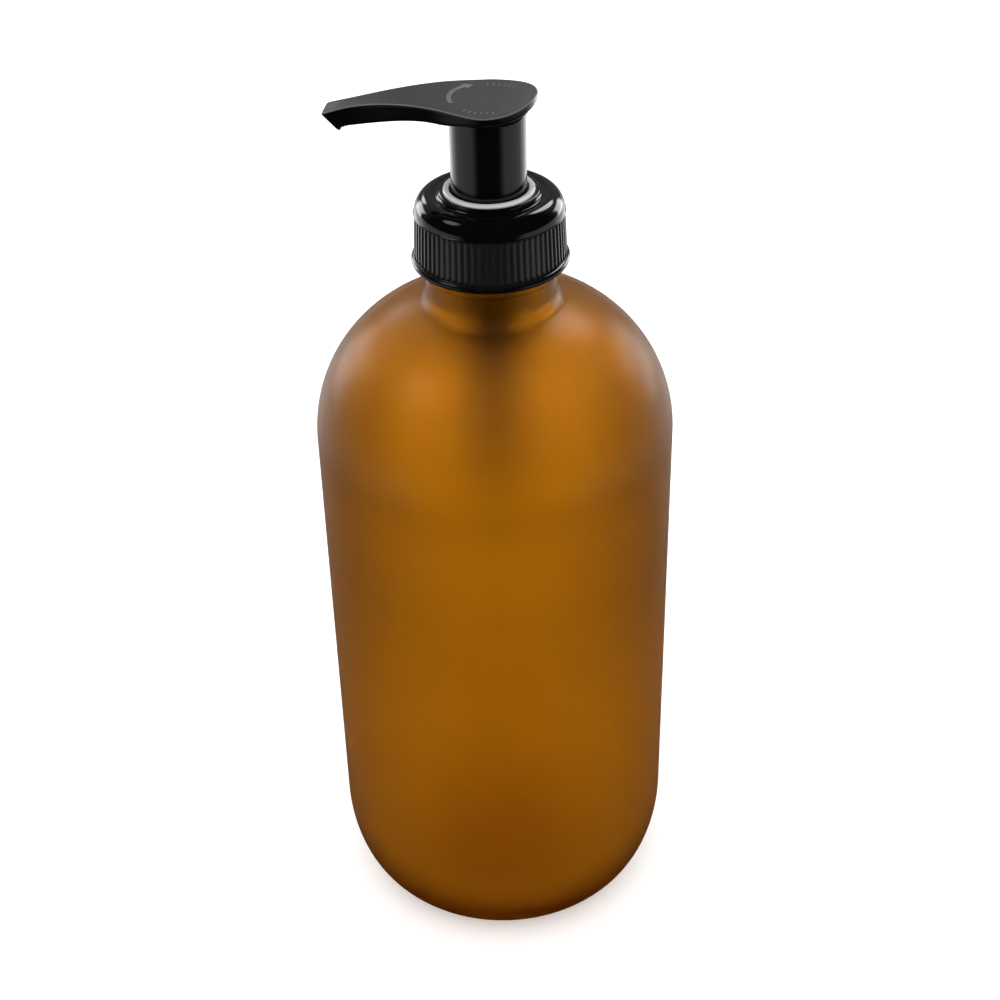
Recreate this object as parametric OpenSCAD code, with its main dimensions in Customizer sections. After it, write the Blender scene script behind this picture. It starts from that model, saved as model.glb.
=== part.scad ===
// Pump oil bottle: frosted amber glass bottle with a screw-on lotion pump.
// Millimetres, +Z up. Origin: centre of the footprint, on the surface the bottle stands on.
// The spout points along -X. The bottle, pump and thread share the Z axis.
// Names: _r radius, _d diameter, _h height, _w half width, _t thickness, _z height above the floor.

/* [Bottle] */
// Outside diameter of the glass body
body_d = 75; // [73:0.5:77]
// Height at which the straight body ends and the shoulder starts
body_h = 119.5; // [105:0.5:125]
// Radius of the shoulder arc
shoulder_r = 31; // [29:0.5:33]
// Wall thickness of the glass
glass_wall = 2.3; // [1.8:0.1:3]
// Width of the rounded heel, measured along the radius
heel_w = 10.3; // [8:0.1:12]
// Height of the rounded heel
heel_h = 20.6; // [14:0.2:24]
// How far the middle of the base is pushed up
push_up = 2.6; // [1:0.1:4]
// Outside radius of the neck below the finish
neck_r = 13.2; // [13:0.05:13.4]

/* [Neck finish 28-400] */
// Height of the glass mouth above the floor
mouth_z = 168.2; // [168.2:0.1:168.2]
// Outside radius of the neck between the threads
finish_r = 12.55; // [12.4:0.01:12.62]
// Outside radius over the thread
thread_r = 13.69; // [13.56:0.01:13.8]
// Thread pitch, six to the inch
thread_pitch = 4.2333; // [4.2333:0.0001:4.2333]
// Number of turns of thread
thread_turns = 1.12; // [1:0.01:1.25]
// Radius of the bore through the neck
bore_r = 9.8; // [9.6:0.05:10]

/* [Closure] */
// Number of grip ribs round the skirt
rib_count = 72; // [48:6:96]
// Height that the grip ribs stand out
rib_h = 0.38; // [0.2:0.02:0.5]
// Largest radius of the flared bead at the skirt's lower edge
flare_r = 15.86; // [15.7:0.02:16.1]
// Radius of the closure's centre hole
closure_hole_r = 9.12; // [9.07:0.01:9.15]

/* [Pump] */
// Outside radius of the light ring round the sleeve
ring_r = 9.05; // [8.95:0.01:9.06]
// Inside radius of that ring
ring_bore_r = 7.8; // [7.6:0.05:7.9]
// Radius of the stem, and of the guide's bore less its clearance
stem_r = 4.04; // [3.8:0.02:4.06]
// Running clearance between the stem and its guide
run_clear = 0.06; // [0.03:0.01:0.09]
// Inside radius of the pump barrel
barrel_r = 5.9; // [5.8:0.05:6]
// Stroke of the pump, which sets the length of the sleeve
stroke = 14; // [8:0.5:14]
// Number of coils in the return spring
coils = 9; // [7:1:10]
// Diameter of the spring wire
wire_d = 1.0; // [0.8:0.05:1.05]
// Radius of the inlet valve's ball
ball_r = 2.38; // [2.3:0.01:2.38]
// Outside radius of the dip tube
dip_r = 2.98; // [2.9:0.01:2.98]
// Bore radius of the dip tube
dip_bore_r = 2.2; // [1.8:0.05:2.4]
// Height of the dip tube's lower end above the floor
dip_z = 9; // [8.5:0.5:20]

/* [Head] */
// Outside radius of the sleeve under the head
sleeve_r = 7.43; // [7.2:0.01:7.5]
// Half width of the thumb pad
pad_w = 10.1; // [9:0.1:11]
// Length of the pad behind the pump's axis
pad_back = 9.2; // [8.6:0.1:10]
// Reach of the spout's tip from the pump's axis
reach = 31; // [29:0.5:34]
// Half width of the spout where it is narrowest
spout_w = 2.6; // [2.4:0.1:3.2]
// Height above the floor of the lowest point of the pad's top
pad_z = 192; // [192:0.1:192.5]

/* [Hidden] */
$fn = 96;

// neck, flange and closure
gasket_t = 1.1;
flange_z = mouth_z + gasket_t;      // underside of the housing's flange
flange_top = flange_z + 1.6;        // the light ring rests here
ceiling_z = flange_top + 0.05;      // underside of the closure's top
skirt_z = 158.4;                    // lower edge of the closure
dome_z = 169.1;                     // line between the ribs and the glossy dome
thread_z = mouth_z - 6.6;           // centre of the thread where it starts

// housing and locking collar
shelf_z = 150.6;                    // step in the housing that holds the collar
collar_floor_z = shelf_z + 1;       // top of the collar's floor
cup_bore_r = 8.5;                   // housing's bore round the collar
bead_z = 153.6;                     // middle of the collar's bead and of its groove
guide_top = 169.4;                  // top of the collar's guide and lands
tube_stop_z = 99.5;                 // end of the housing's socket for the dip tube
valve_seat_low = [1.6, 100.9];      // ends of the ball's conical seat, [radius, z]
valve_seat_high = [2.7, 102.2];
ledge_z = 108;                      // the spring stands here, above the ball

// moving parts
seat_z = 136;                       // underside of the piston seat, on top of the spring
foot_z = seat_z + 1.6;              // lower end of the stem, on the piston seat
step_z = 144.6;                     // shoulder on the stem above the piston
stem_top = 188.2;
stem_bore_r = 2.0;

amber = [0.72, 0.42, 0.08];
black = [0.09, 0.09, 0.10];
natural = [0.90, 0.90, 0.88];
gasket_white = [0.93, 0.93, 0.9];
tube_white = [0.88, 0.9, 0.9];
piston_white = [0.86, 0.87, 0.88];
ball_steel = [0.75, 0.76, 0.78];
spring_steel = [0.7, 0.71, 0.73];

/* ---------- shared functions and shapes ---------- */
// Points on an ellipse with centre (x, y) and half axes rx, ry, between two angles
function arc(x, y, rx, ry, from, to, steps) =
    [for (i = [0:steps])
        let (angle = from + (to - from) * i / steps)
        [x + rx * cos(angle), y + ry * sin(angle)]];

function reverse(list) = [for (i = [len(list) - 1:-1:0]) list[i]];

// 0 up to "from", 1 beyond "to", an S-curve between them
function smooth(from, to, value) =
    let (t = min(1, max(0, (value - from) / (to - from))))
    t * t * (3 - 2 * t);

// Cubic Bezier through four control values
function bezier(p, t) = pow(1 - t, 3) * p[0] + 3 * pow(1 - t, 2) * t * p[1]
                      + 3 * (1 - t) * t * t * p[2] + pow(t, 3) * p[3];

// Faces of a closed tube whose points run in steps + 1 rings of "sides" points
function tube_faces(steps, sides) =
    let (last = steps * sides)
    concat(
        [for (i = [0:steps - 1], k = [0:sides - 1])
            let (a = i * sides + k, b = i * sides + (k + 1) % sides)
            each [[a, b, b + sides], [a, b + sides, a + sides]]],
        [for (k = [1:sides - 2]) [0, k + 1, k]],
        [for (k = [1:sides - 2]) [last, last + k, last + k + 1]]);

// A helical thread ridge round Z: trapezium section, fading at both ends.
// base: radius where it joins the wall; crest: its free radius, outside or inside the base.
module ridge(base, crest, half_base, half_crest, turns, z_start, start = 0) {
    steps = 56;
    fade_steps = 5;
    points = [for (i = [0:steps])
        let (angle = start + 360 * turns * i / steps,
             growth = max(0.12, min(1, i / fade_steps, (steps - i) / fade_steps)),
             r = base + (crest - base) * growth,
             z = z_start + thread_pitch * angle / 360)
        for (corner = [[base, -half_base], [r, -half_crest], [r, half_crest], [base, half_base]])
            [corner[0] * cos(angle), corner[0] * sin(angle), z + corner[1]]];
    outward = tube_faces(steps, 4);
    // a ridge that points inwards needs its faces turned over
    faces = crest > base ? outward : [for (face = outward) reverse(face)];
    polyhedron(points, faces, convexity = 6);
}

// Sector of a ring, "width" degrees wide and centred on the angle "mid"
module sector(r_in, r_out, z_low, z_high, mid, width = 60) {
    translate([0, 0, z_low]) rotate([0, 0, mid - width / 2])
        rotate_extrude(angle = width) translate([r_in, 0]) square([r_out - r_in, z_high - z_low]);
}

/* ---------- glass ---------- */
body_r = body_d / 2;
shoulder_centre_r = body_r - shoulder_r;
base_t = 4.4;                       // glass thickness at the heel's lowest point
inner_push_up = 2.2;
push_up_r = 24;                     // radius of the pushed-up part of the base
inner_heel_r = 26.2;                // radius at which the inside heel starts
finish_z = 158;                     // lower end of the finish

// Point i of 10 from the axis to the edge of the pushed-up part
function base_point(i, edge_z, rise) =
    [push_up_r * i / 10, edge_z + rise * (0.5 + 0.5 * cos(180 * i / 10))];

// Shoulder arc and the fillet that leads from it into a neck of radius wall_r, going up
function shoulder(wall_r, arc_r, fillet_r) =
    let (x = wall_r + fillet_r,
         rise = sqrt(pow(arc_r + fillet_r, 2) - pow(x - shoulder_centre_r, 2)),
         meet = atan2(rise, x - shoulder_centre_r))
    concat(
        arc(shoulder_centre_r, body_h, arc_r, arc_r, 0, meet, 20),
        arc(x, body_h + rise, fillet_r, fillet_r, 180 + meet, 180, 8));

// Outside from the axis up to the mouth
function glass_outside() = concat(
    [for (i = [0:10]) base_point(i, 0, push_up)],
    arc(body_r - heel_w, heel_h, heel_w, heel_h, -90, 0, 16),
    shoulder(neck_r, shoulder_r, 3.2),
    arc(neck_r - 0.2, finish_z - 1.2, 0.62, 0.8, -70, 70, 6),
    [[finish_r, finish_z], [finish_r, mouth_z - 0.8]],
    arc(finish_r - 0.8, mouth_z - 0.8, 0.8, 0.8, 20, 90, 4));

// Inside from the mouth back down to the axis
function glass_inside() = concat(
    arc(bore_r + 0.6, mouth_z - 0.6, 0.6, 0.6, 90, 180, 4),
    reverse(shoulder(bore_r, shoulder_r - glass_wall, 4.5)),
    arc(inner_heel_r, heel_h, body_r - glass_wall - inner_heel_r, heel_h - base_t, 0, -90, 14),
    [for (i = [9:-1:0]) base_point(i, base_t, inner_push_up)]);

module bottle() {
    color(amber) {
        rotate_extrude() polygon(concat(glass_outside(), glass_inside()));
        ridge(base = finish_r - 0.45, crest = thread_r, half_base = 1.2, half_crest = 0.45,
              turns = thread_turns, z_start = thread_z);
    }
}

/* ---------- screw closure ---------- */
rib_z = 160.1;                      // lower end of the ribs
rib_low_r = 15.3;                   // radius over the ribs at their lower end
rib_high_r = 14.9;                  // and at their upper end
skirt_bore_r = 13.9;
top_bore_r = 13.25;                 // bore above the threaded part, round the flange

module closure_shell() {
    rotate_extrude() polygon(concat(
        // outside, from the skirt's lower edge up
        [[skirt_bore_r + 0.25, skirt_z], [15.35, skirt_z]],
        arc(flare_r - 0.78, skirt_z + 0.8, 0.78, 0.76, -60, 75, 7),
        [[rib_low_r - rib_h, rib_z], [rib_high_r - rib_h, dome_z - 0.15]],
        arc(rib_high_r - 3, dome_z, 3, 3.75, 0, 90, 12),
        // raised rim round the centre hole
        [[11.25, dome_z + 3.66]],
        arc(10.85, dome_z + 4.3, 0.9, 0.9, -110, -178, 5),
        arc(9.62, dome_z + 4.2, 0.3, 0.3, 10, 90, 3),
        [[closure_hole_r + 0.12, dome_z + 4.5], [closure_hole_r, dome_z + 4.38],
         // inside, back down
         [closure_hole_r, ceiling_z], [top_bore_r, ceiling_z], [top_bore_r, 168.7],
         [skirt_bore_r, 168], [skirt_bore_r, skirt_z + 0.6]]));
}

// A toothed ring cut to the skirt's taper
module grip_ribs() {
    rib_pitch = 360 / rib_count;
    // corners of one tooth: [fraction of the rib pitch, radius]
    tooth = [[0.04, 14.3], [0.3, 16.2], [0.7, 16.2], [0.96, 14.3]];
    intersection() {
        translate([0, 0, rib_z - 0.1]) linear_extrude(dome_z - rib_z)
            difference() {
                polygon([for (i = [0:rib_count - 1], corner = tooth)
                    let (angle = rib_pitch * (i + corner[0]))
                    corner[1] * [cos(angle), sin(angle)]]);
                circle(r = 14.1);
            }
        translate([0, 0, rib_z - 0.1])
            cylinder(h = dome_z - rib_z, r1 = rib_low_r, r2 = rib_high_r);
    }
}

module closure() {
    color(black) {
        closure_shell();
        grip_ribs();
        // inside thread, half a pitch below the glass thread
        ridge(base = skirt_bore_r + 0.3, crest = 12.76, half_base = 1.1, half_crest = 0.4,
              turns = 1.02, z_start = thread_z - thread_pitch / 2, start = 25);
    }
}

/* ---------- parts of the pump that stay with the housing ---------- */
module locking_collar() {
    collar_r = cup_bore_r - 0.03;
    guide_bore_r = stem_r + run_clear;
    guide_r = 5.3;
    ring_top = 174;
    color(natural) {
        rotate_extrude() polygon(concat(
            [[guide_bore_r, shelf_z], [collar_r, shelf_z], [collar_r, bead_z - 0.6],
             [collar_r + 0.15, bead_z], [collar_r, bead_z + 0.6], [collar_r, flange_top],
             [ring_r, flange_top]],
            arc(ring_r - 0.35, ring_top - 0.35, 0.35, 0.35, 0, 90, 4),
            arc(ring_bore_r + 0.3, ring_top - 0.3, 0.3, 0.3, 90, 180, 4),
            [[ring_bore_r, collar_floor_z], [guide_r, collar_floor_z],
             [guide_r, guide_top - 0.3], [guide_r - 0.3, guide_top],
             [guide_bore_r + 0.3, guide_top], [guide_bore_r, guide_top - 0.3]]));
        // lands that hold the head up when it is turned to the locked side
        for (angle = [0, 180])
            sector(guide_r - 0.2, 6.05, 166, guide_top, angle);
    }
}

module pump_housing() {
    tube_socket_r = dip_r + 0.02;
    tube_socket_z = 89.5;
    cup_r = 9.35;
    flange_r = 12.95;
    fin_z = 106.9;
    color(black) {
        rotate_extrude() polygon([
            // outside, from the dip tube socket up
            [tube_socket_r, tube_socket_z], [4.1, tube_socket_z], [4.1, 99.6], [4.6, 100.6],
            [4.6, 103.5], [6.8, 106.5], [6.8, 148.2], [cup_r, 150.6], [cup_r, flange_z],
            [flange_r, flange_z], [flange_r, flange_top], [cup_bore_r, flange_top],
            // inside, back down
            [cup_bore_r, bead_z + 0.9], [cup_bore_r + 0.16, bead_z], [cup_bore_r, bead_z - 0.9],
            [cup_bore_r, shelf_z], [barrel_r + 0.5, shelf_z], [barrel_r, shelf_z - 1],
            [barrel_r, ledge_z], [3, ledge_z], [3, 102.5], valve_seat_high, valve_seat_low,
            [valve_seat_low[0], tube_stop_z], [tube_socket_r, tube_stop_z]]);
        // three fins that keep the ball in its chamber
        intersection() {
            for (angle = [30, 150, 270]) rotate([0, 0, angle])
                translate([1.2, -0.4, fin_z]) cube([2.6, 0.8, ledge_z - fin_z]);
            cylinder(r = 3.4, h = ledge_z);
        }
    }
}

module neck_gasket() {
    color(gasket_white)
        rotate_extrude() translate([9.5, mouth_z]) square([3.4, gasket_t]);
}

module dip_tube() {
    length = tube_stop_z - 0.1 - dip_z;
    color(tube_white)
        difference() {
            translate([0, 0, dip_z]) cylinder(r = dip_r, h = length);
            translate([0, 0, dip_z - 1]) cylinder(r = dip_bore_r, h = length + 1.6);
            // slanted cut, so that the end can't seal against the glass
            translate([0, 0, dip_z]) rotate([0, 45, 0])
                translate([-12, -6, -10]) cube([24, 12, 10]);
        }
}

/* ---------- inlet valve ---------- */
// The ball sits 0.01 above the position where it would touch its conical seat
module inlet_check_ball() {
    slope = valve_seat_high - valve_seat_low;
    half_angle = atan2(slope[0], slope[1]);
    apex_z = valve_seat_low[1] - valve_seat_low[0] / tan(half_angle);
    color(ball_steel)
        translate([0, 0, apex_z + ball_r / sin(half_angle) + 0.01]) sphere(r = ball_r);
}

/* ---------- spring ---------- */
module return_spring() {
    mean_r = 4.35;
    wire_r = wire_d / 2;
    coil_steps = 24;
    wire_sides = 8;
    steps = coils * coil_steps;
    rise = seat_z - ledge_z - wire_d;    // of the wire's centre line
    closed_pitch = wire_d * 1.02;        // one closed coil at each end
    open_pitch = (rise - 2 * closed_pitch) / (coils - 2);
    function wire_z(turn) =
        turn < 1 ? turn * closed_pitch
        : turn > coils - 1 ? rise - (coils - turn) * closed_pitch
        : closed_pitch + (turn - 1) * open_pitch;
    points = [for (i = [0:steps], k = [0:wire_sides - 1])
        let (angle = 360 * i / coil_steps,
             wire_angle = 360 * k / wire_sides,
             r = mean_r + wire_r * cos(wire_angle),
             z = ledge_z + wire_r + wire_z(i / coil_steps) + wire_r * sin(wire_angle))
        [r * cos(angle), r * sin(angle), z]];
    color(spring_steel) polyhedron(points, tube_faces(steps, wire_sides), convexity = 10);
}

/* ---------- parts that move with the head ---------- */
module piston_seat() {
    tail_z = foot_z - 0.2;
    tail_h = 9.2;
    color(natural) {
        rotate_extrude() polygon([[0, seat_z], [3.6, seat_z], [4.6, seat_z + 0.5],
            [4.6, seat_z + 1.1], [4.3, foot_z], [0, foot_z]]);
        // locating boss inside the spring
        translate([0, 0, seat_z - 1.6]) cylinder(r1 = 2.9, r2 = 3.5, h = 1.7);
        // cross-shaped tail pushed into the stem; liquid passes between its fins
        intersection() {
            for (angle = [0, 90]) rotate([0, 0, angle])
                translate([-3, -0.45, tail_z]) cube([6, 0.9, tail_h]);
            translate([0, 0, tail_z]) cylinder(r = stem_bore_r - 0.01, h = tail_h);
        }
    }
}

// A sleeve round the stem's waist, with a lip against the barrel at each end
module piston() {
    z = foot_z + 0.05;
    bore = 3.2;
    lip = barrel_r - 0.04;
    color(piston_white)
        rotate_extrude() polygon([
            [bore, z], [4.2, z], [4.4, z + 0.9], [4.9, z + 1.3], [5.5, z + 0.2], [lip, z + 0.25],
            [lip, z + 0.75], [5.35, z + 2.0], [5.35, z + 3.7], [lip, z + 4.95], [lip, z + 5.45],
            [5.5, z + 5.5], [4.9, z + 4.4], [4.5, z + 4.8], [4.3, z + 5.6], [bore, z + 5.6]]);
}

module stem() {
    waist_r = 3.12;
    color(natural)
        difference() {
            rotate_extrude() polygon([
                [stem_bore_r, foot_z], [waist_r, foot_z], [waist_r, step_z - 0.1],
                [stem_r - 0.2, step_z], [stem_r, step_z + 0.3], [stem_r, stem_top - 0.4],
                [stem_r - 0.4, stem_top], [stem_bore_r, stem_top]]);
            // outlet ports, uncovered when the piston floats up
            for (angle = [45, 135]) translate([0, 0, foot_z + 0.75]) rotate([0, 90, angle])
                cylinder(r = 0.5, h = 12, center = true, $fn = 24);
        }
}

/* ---------- head ---------- */
// Half of the head's plan on the +Y side, from the pad's back to past the spout's tip
function head_outline() = concat(
    arc(0, 0, pad_back, pad_w, 0, 90, 14),
    [for (i = [1:16])
        let (t = i / 16)
        [-bezier([0, 3, 18, 27], t), bezier([pad_w, pad_w, spout_w, spout_w], t)]],
    [[-reach - 1, spout_w + 0.3]]);

// Height of the head's top and underside at a distance s from the axis towards the tip
function head_top(s) =
    s < 0 ? pad_z + 0.0145 * s * s
    : s < 10 ? pad_z + 0.5 * smooth(0, 10, s)
    : pad_z + 0.5 - 0.0072 * pow(s - 10, 2);
function head_underside(s) =
    head_top(s) - (1.6 + 1.35 * smooth(0, 9, s) + 0.8 * smooth(9, 26, s));

// The plan extruded upwards, cut to the side view
module head_shape() {
    half = head_outline();
    mirrored = [for (i = [len(half) - 1:-1:1]) [half[i][0], -half[i][1]]];
    step = 1.5;
    back = -pad_back - 0.5;
    low_tip = reach - 2.6;          // the tip's end face slants back to here
    side = concat(
        [for (s = [back:step:reach - 1]) [-s, head_top(s)]],
        [[-reach, head_top(reach)], [-low_tip, head_underside(low_tip)]],
        [for (s = [reach - 2.8:-step:back]) [-s, head_underside(s)]]);
    intersection() {
        translate([0, 0, 180]) linear_extrude(20) polygon(concat(half, mirrored));
        rotate([90, 0, 0]) translate([0, 0, -15]) linear_extrude(30) polygon(side);
    }
}

// Straight round passage between two points [x, z] in the plane of symmetry,
// run on a little at both ends
module passage(from, to, r) {
    run_on = 0.35;
    span = to - from;
    translate([from[0], 0, from[1]]) rotate([0, atan2(span[0], span[1]), 0])
        translate([0, 0, -run_on]) cylinder(r = r, h = norm(span) + 2 * run_on);
}

module actuator_head() {
    sleeve_z = collar_floor_z + 0.2 + stroke;  // clears the collar's floor when fully pressed
    sleeve_top = pad_z - 1.1 - sleeve_z;
    cut_z = sleeve_z - 1;
    boss_z = 184.5;                 // lower end of the stem socket's boss
    socket_z = boss_z - 0.5;
    // centre line of the way out, [x, z]
    outlet = [[0, 189.6], [-9, 191], [-18, 190.4], [-reach - 1.5, 187.45]];
    color(black)
        difference() {
            union() {
                head_shape();
                translate([0, 0, sleeve_z]) rotate_extrude() polygon([
                    [0, 0], [sleeve_r - 0.35, 0], [sleeve_r, 0.35], [sleeve_r, sleeve_top],
                    [0, sleeve_top]]);
            }
            // sleeve's inside, leaving the boss and two lugs above the collar's guide
            translate([0, 0, cut_z]) difference() {
                cylinder(r = 6.2, h = 188.3 - cut_z);
                translate([0, 0, boss_z - cut_z]) cylinder(r = 5.2, h = 10);
                for (angle = [90, 270])
                    sector(5.4, 6.6, guide_top + 0.2 - cut_z, 189 - cut_z, angle);
            }
            // stem socket and the way out through the spout
            translate([0, 0, socket_z]) cylinder(r = stem_r + 0.02, h = stem_top + 0.05 - socket_z);
            translate([0, 0, 188]) cylinder(r = 1.6, h = 1.9);
            for (i = [0:2]) passage(outlet[i], outlet[i + 1], r = 0.9);
        }
}

bottle();
closure();
locking_collar();
pump_housing();
neck_gasket();
dip_tube();
inlet_check_ball();
return_spring();
piston_seat();
piston();
stem();
actuator_head();
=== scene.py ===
# Amber glass bottle with a black screw closure and a pump head.
# It stands upright on the Z axis with its base at z = 0, and the spout points to -X.
# Piece sizes are in mm and become metres through MM; materials, floor and camera are in metres.
import math

import bmesh
import bpy
import numpy as np
from mathutils import Matrix, Vector


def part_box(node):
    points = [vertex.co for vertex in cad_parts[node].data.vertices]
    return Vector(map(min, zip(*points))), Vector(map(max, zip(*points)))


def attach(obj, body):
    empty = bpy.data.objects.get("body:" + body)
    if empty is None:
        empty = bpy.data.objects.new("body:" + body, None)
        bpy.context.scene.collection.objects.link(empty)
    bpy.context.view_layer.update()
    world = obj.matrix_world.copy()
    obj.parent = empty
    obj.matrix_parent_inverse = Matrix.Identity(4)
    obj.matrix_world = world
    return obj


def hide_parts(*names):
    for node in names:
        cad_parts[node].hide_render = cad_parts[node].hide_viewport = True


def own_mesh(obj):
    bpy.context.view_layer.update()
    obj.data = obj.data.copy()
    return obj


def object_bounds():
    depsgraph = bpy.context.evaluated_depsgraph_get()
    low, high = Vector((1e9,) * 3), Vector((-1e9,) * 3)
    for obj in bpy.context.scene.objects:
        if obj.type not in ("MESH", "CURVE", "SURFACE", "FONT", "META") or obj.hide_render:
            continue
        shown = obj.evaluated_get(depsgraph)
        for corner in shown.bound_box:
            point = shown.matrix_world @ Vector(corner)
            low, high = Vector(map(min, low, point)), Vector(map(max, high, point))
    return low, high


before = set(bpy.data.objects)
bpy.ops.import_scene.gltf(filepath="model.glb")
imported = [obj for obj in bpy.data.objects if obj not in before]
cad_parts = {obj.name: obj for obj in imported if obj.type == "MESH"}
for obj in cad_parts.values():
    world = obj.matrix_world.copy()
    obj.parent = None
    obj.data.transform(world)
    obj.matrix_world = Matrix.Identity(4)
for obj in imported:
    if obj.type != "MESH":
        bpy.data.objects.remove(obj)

cad_lo, cad_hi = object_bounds()
MM = 0.001


# ------------------------------------------------------------------ driving sizes, from the CAD nodes
def box_mm(name):
    lo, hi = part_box(name)
    return [v / MM for v in lo], [v / MM for v in hi]


def span(name):
    """(outer radius about Z, lowest z, highest z) of a round CAD node"""
    lo, hi = box_mm(name)
    return max(hi[1], -lo[1]), lo[2], hi[2]


BODY_R, _, MOUTH_Z = span("bottle")
FLARE_R, SKIRT_Z, CLOSURE_TOP = span("closure")
FLANGE_TOP = span("pump_housing")[2]
_, COLLAR_LO, COLLAR_TOP = span("locking_collar")
_, SPRING_LO, SPRING_HI = span("return_spring")
(HEAD_X0, _, SLEEVE_LO), (HEAD_X1, PAD_W, HEAD_TOP) = box_mm("actuator_head")

BODY_H = MOUTH_Z - 48.7               # top of the straight body
RING_R = 9.05                         # collar's ring, seen in the closure's hole
DOME_Z = CLOSURE_TOP - 4.5            # line between the ribs and the dome
REACH = -HEAD_X0 + 0.8                # axis to spout tip, with what the rounded edges take off
PAD_BACK = HEAD_X1 + 0.5              # axis to the back of the pad
BACK_RISE = 0.0145                    # curvature of the pad's top behind the axis
PAD_Z = HEAD_TOP - BACK_RISE * (HEAD_X1 ** 2) - 0.01    # pad's top at the axis
DISH, CROWN = 0.32, 0.20              # depth of the pad's hollow, height of the spout's ridge

# screw thread, shared by the bottle and the closure
PITCH, THREAD_Z, TURNS = 4.2333, MOUTH_Z - 6.6, 1.12
FINISH_R, THREAD_R = 12.55, 13.69     # threaded part of the glass, and the crest of its thread


# ------------------------------------------------------------------ outlines
def arc(centre_r, centre_z, radius_r, radius_z, start, end, steps):
    """points (r, z) on an elliptical arc, angles in degrees"""
    angles = [math.radians(start + (end - start) * i / steps) for i in range(steps + 1)]
    return [(centre_r + radius_r * math.cos(a), centre_z + radius_z * math.sin(a)) for a in angles]


def densify(points, step):
    """adds points so that no piece of the open outline is longer than step"""
    out = []
    for a, b in zip(points, points[1:]):
        parts = max(1, int(math.ceil(math.dist(a, b) / step)))
        out += [(a[0] + (b[0] - a[0]) * j / parts, a[1] + (b[1] - a[1]) * j / parts)
                for j in range(parts)]
    return out + [points[-1]]


def bezier(p, t):
    return ((1 - t) ** 3 * p[0] + 3 * (1 - t) ** 2 * t * p[1]
            + 3 * (1 - t) * t * t * p[2] + t ** 3 * p[3])


def smoothstep(low, high, x):
    t = np.clip((np.asarray(x, float) - low) / (high - low), 0, 1)
    return t * t * (3 - 2 * t)


def degrees_off_x(theta):
    """angle between the direction theta and the nearer end of the X axis"""
    return np.degrees(np.abs(np.angle(np.exp(2j * theta))) / 2)


def helix_height(z, theta, base_z, start, turns, half_base, half_crest):
    """0..1 height of a helical ridge at (z, theta), fading out at both ends"""
    height = np.zeros_like(z)
    end = start + 360 * turns
    for turn in range(-1, int(turns) + 2):
        angle = np.degrees(theta) + 360.0 * turn
        centre = base_z + PITCH * angle / 360.0
        inside = (angle >= start) & (angle <= end)
        fade = np.clip(np.minimum(angle - start, end - angle) / 32.0, 0, 1)
        ridge = np.clip((half_base - np.abs(z - centre)) / (half_base - half_crest), 0, 1)
        ridge = ridge * ridge * (3 - 2 * ridge)
        height = np.maximum(height, np.where(inside, ridge * fade, 0))
    return height


# ------------------------------------------------------------------ meshes
def shade(mesh, sharp):
    """smooth shading, with edges over sharp degrees kept hard"""
    mesh.polygons.foreach_set("use_smooth", [True] * len(mesh.polygons))
    mesh.set_sharp_from_angle(angle=math.radians(sharp))


def new_object(name, verts, faces, sharp):
    mesh = bpy.data.meshes.new(name)
    mesh.from_pydata([tuple(v) for v in verts], [], faces)
    mesh.validate()
    edit = bmesh.new()
    edit.from_mesh(mesh)
    bmesh.ops.recalc_face_normals(edit, faces=edit.faces)
    edit.to_mesh(mesh)
    edit.free()
    piece = bpy.data.objects.new(name, mesh)
    bpy.context.scene.collection.objects.link(piece)
    shade(mesh, sharp)
    return piece


def lathe(name, profile, sides, shape=None, ends_on_axis=False, sharp=35.0):
    """Solid of revolution from (r, z) points in mm, a closed loop unless its ends are on the axis.

    shape(radii, heights, theta, index) may move the points of ring number index.
    """
    theta = np.linspace(0, 2 * math.pi, sides, endpoint=False)
    verts, rings = [], []
    for index, (radius, z) in enumerate(profile):
        if ends_on_axis and index in (0, len(profile) - 1):
            rings.append([len(verts)])
            verts.append((0, 0, z * MM))
            continue
        radii, heights = np.full(sides, float(radius)), np.full(sides, float(z))
        if shape is not None:
            radii, heights = shape(radii, heights, theta, index)
        rings.append(list(range(len(verts), len(verts) + sides)))
        verts += list(zip(radii * np.cos(theta) * MM, radii * np.sin(theta) * MM, heights * MM))
    faces = []
    count = len(rings)
    for j in range(count - 1 if ends_on_axis else count):
        a, b = rings[j], rings[(j + 1) % count]
        for i in range(sides):
            k = (i + 1) % sides
            if len(a) == 1:
                faces.append((a[0], b[i], b[k]))
            elif len(b) == 1:
                faces.append((a[k], a[i], b[0]))
            else:
                faces.append((a[i], b[i], b[k], a[k]))
    return new_object(name, verts, faces, sharp)


def tube_sides(rings, sides):
    """faces between successive rings of vertices"""
    faces = []
    for i in range(rings - 1):
        for k in range(sides):
            a, b = i * sides + k, i * sides + (k + 1) % sides
            faces.append((a, b, b + sides, a + sides))
    return faces


def tube_ends(rings, sides):
    return [tuple(range(sides - 1, -1, -1)),
            tuple((rings - 1) * sides + k for k in range(sides))]


def boolean(piece, other, operation):
    """applies the boolean to piece and removes the other object"""
    modifier = piece.modifiers.new(operation, "BOOLEAN")
    modifier.operation = operation
    modifier.object = other
    modifier.solver = "EXACT"
    bpy.context.view_layer.update()
    graph = bpy.context.evaluated_depsgraph_get()
    mesh = bpy.data.meshes.new_from_object(piece.evaluated_get(graph))
    piece.modifiers.clear()
    old = piece.data
    piece.data = mesh
    mesh.name = piece.name
    bpy.data.meshes.remove(old)
    bpy.data.objects.remove(other)
    return piece


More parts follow.
